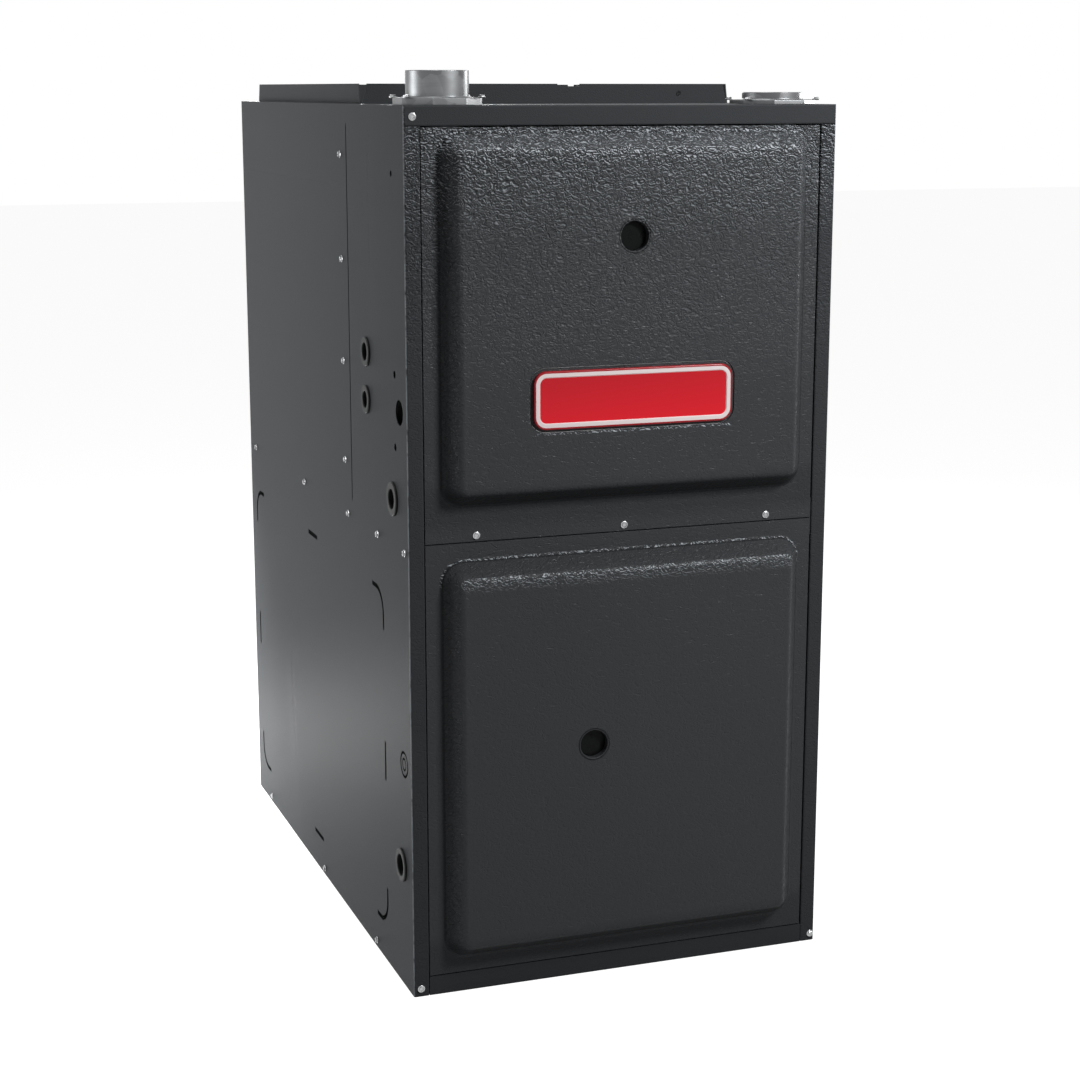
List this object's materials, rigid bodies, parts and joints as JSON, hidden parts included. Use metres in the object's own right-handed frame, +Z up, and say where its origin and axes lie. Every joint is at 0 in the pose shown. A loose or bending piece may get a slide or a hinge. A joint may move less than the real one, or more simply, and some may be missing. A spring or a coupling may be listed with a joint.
{
  "type": "forced air gas furnace",
  "caption": "Upright high-efficiency forced air gas furnace with two lift-off doors, top duct flanges, pipe collars and a working blower.",
  "frame": {"origin": "centre of the bottom of the whole, on the floor", "axes": "+Z up, +X to the right facing the doors, +Y from the doors to the back"},
  "size_m": [0.4494, 0.7362, 0.9083],
  "materials": {
    "charcoal_paint": "semi-gloss charcoal paint, orange-peel texture on the doors",
    "galvanised_steel": "galvanised sheet",
    "tube_steel": "aluminised steel",
    "foil_insulation": "foil faced fibre board",
    "coil_fins": "thin fins",
    "cast_alloy": "die casting",
    "copper_winding": "varnished winding and core",
    "black_plastic": "moulded black plastic and rubber",
    "white_ceramic": "pale plastic and ceramic",
    "board_green": "circuit board",
    "plate_red": "plain gloss red",
    "sight_glass": "clear window"
  },
  "bodies": {
    "cabinet": {"cabinet_wrapper": "charcoal_paint", "top_panel": "charcoal_paint", "base_panel": "charcoal_paint", "centre_rail": "charcoal_paint", "blower_deck": "galvanised_steel", "vestibule_panel": "galvanised_steel", "vent_collar": "galvanised_steel", "intake_collar": "galvanised_steel", "burner_box": "galvanised_steel", "blower_housing": "galvanised_steel", "motor_mount": "galvanised_steel", "blower_rail_left": "galvanised_steel", "blower_rail_right": "galvanised_steel", "control_bracket": "galvanised_steel", "junction_box": "galvanised_steel", "heat_exchanger_cell_1": "tube_steel", "heat_exchanger_cell_2": "tube_steel", "heat_exchanger_cell_3": "tube_steel", "collector_box": "tube_steel", "burner_1": "tube_steel", "burner_2": "tube_steel", "burner_3": "tube_steel", "inducer_motor": "tube_steel", "compartment_liner": "foil_insulation", "secondary_coil": "coil_fins", "gas_valve": "cast_alloy", "transformer": "copper_winding", "gas_port_bushing": "black_plastic", "wire_port_bushing": "black_plastic", "sense_port_bushing": "black_plastic", "drain_port_grommet": "black_plastic", "gas_port_plug": "black_plastic", "coil_header": "black_plastic", "condensate_trap": "black_plastic", "gas_manifold": "black_plastic", "rollout_switch": "black_plastic", "limit_switch": "black_plastic", "pressure_switch": "black_plastic", "inducer_housing": "black_plastic", "vent_coupling": "black_plastic", "blower_motor": "black_plastic", "door_switch": "black_plastic", "igniter": "white_ceramic", "flame_sensor": "white_ceramic", "vent_pipe": "white_ceramic", "control_board": "board_green"},
    "upper_access_door": {"upper_door": "charcoal_paint", "upper_door_liner": "foil_insulation", "upper_sight_window": "sight_glass", "door_plate": "plate_red"},
    "lower_access_door": {"lower_door": "charcoal_paint", "lower_door_liner": "foil_insulation", "lower_sight_window": "sight_glass"},
    "blower_rotor": {"blower_wheel": "galvanised_steel"},
    "draft_rotor": {"inducer_rotor": "galvanised_steel"},
    "gas_shutoff_knob": {"gas_valve_knob": "plate_red"},
    "interlock_plunger": {"door_switch_plunger": "white_ceramic"},
    "reset_button": {"rollout_reset_button": "plate_red"}
  },
  "joints": [
    {"name": "upper_door_lift_off", "type": "slide", "parent": "cabinet", "child": "upper_access_door", "axis": [0, -1, 0], "range_m": [0, 0.3]},
    {"name": "lower_door_lift_off", "type": "slide", "parent": "cabinet", "child": "lower_access_door", "axis": [0, -1, 0], "range_m": [0, 0.3]},
    {"name": "blower_spin", "type": "hinge", "parent": "cabinet", "child": "blower_rotor", "pos_m": [0, 0.0369, 0.235], "axis": [1, 0, 0], "continuous": true},
    {"name": "draft_rotor_spin", "type": "hinge", "parent": "cabinet", "child": "draft_rotor", "pos_m": [-0.103, -0.22, 0.548], "axis": [0, 1, 0], "continuous": true},
    {"name": "gas_knob_turn", "type": "hinge", "parent": "cabinet", "child": "gas_shutoff_knob", "pos_m": [-0.012, -0.2394, 0.6335], "axis": [0, 1, 0], "range_deg": [0, 90]},
    {"name": "interlock_press", "type": "slide", "parent": "cabinet", "child": "interlock_plunger", "axis": [0, -1, 0], "range_m": [0, 0.004]},
    {"name": "reset_press", "type": "slide", "parent": "cabinet", "child": "reset_button", "axis": [0, 0, -1], "range_m": [0, 0.002], "stiffness_N_per_m": 300}
  ],
  "couplings": [
    {"joint": "interlock_press", "follows": "lower_door_lift_off", "ratio": 0.0133}
  ]
}
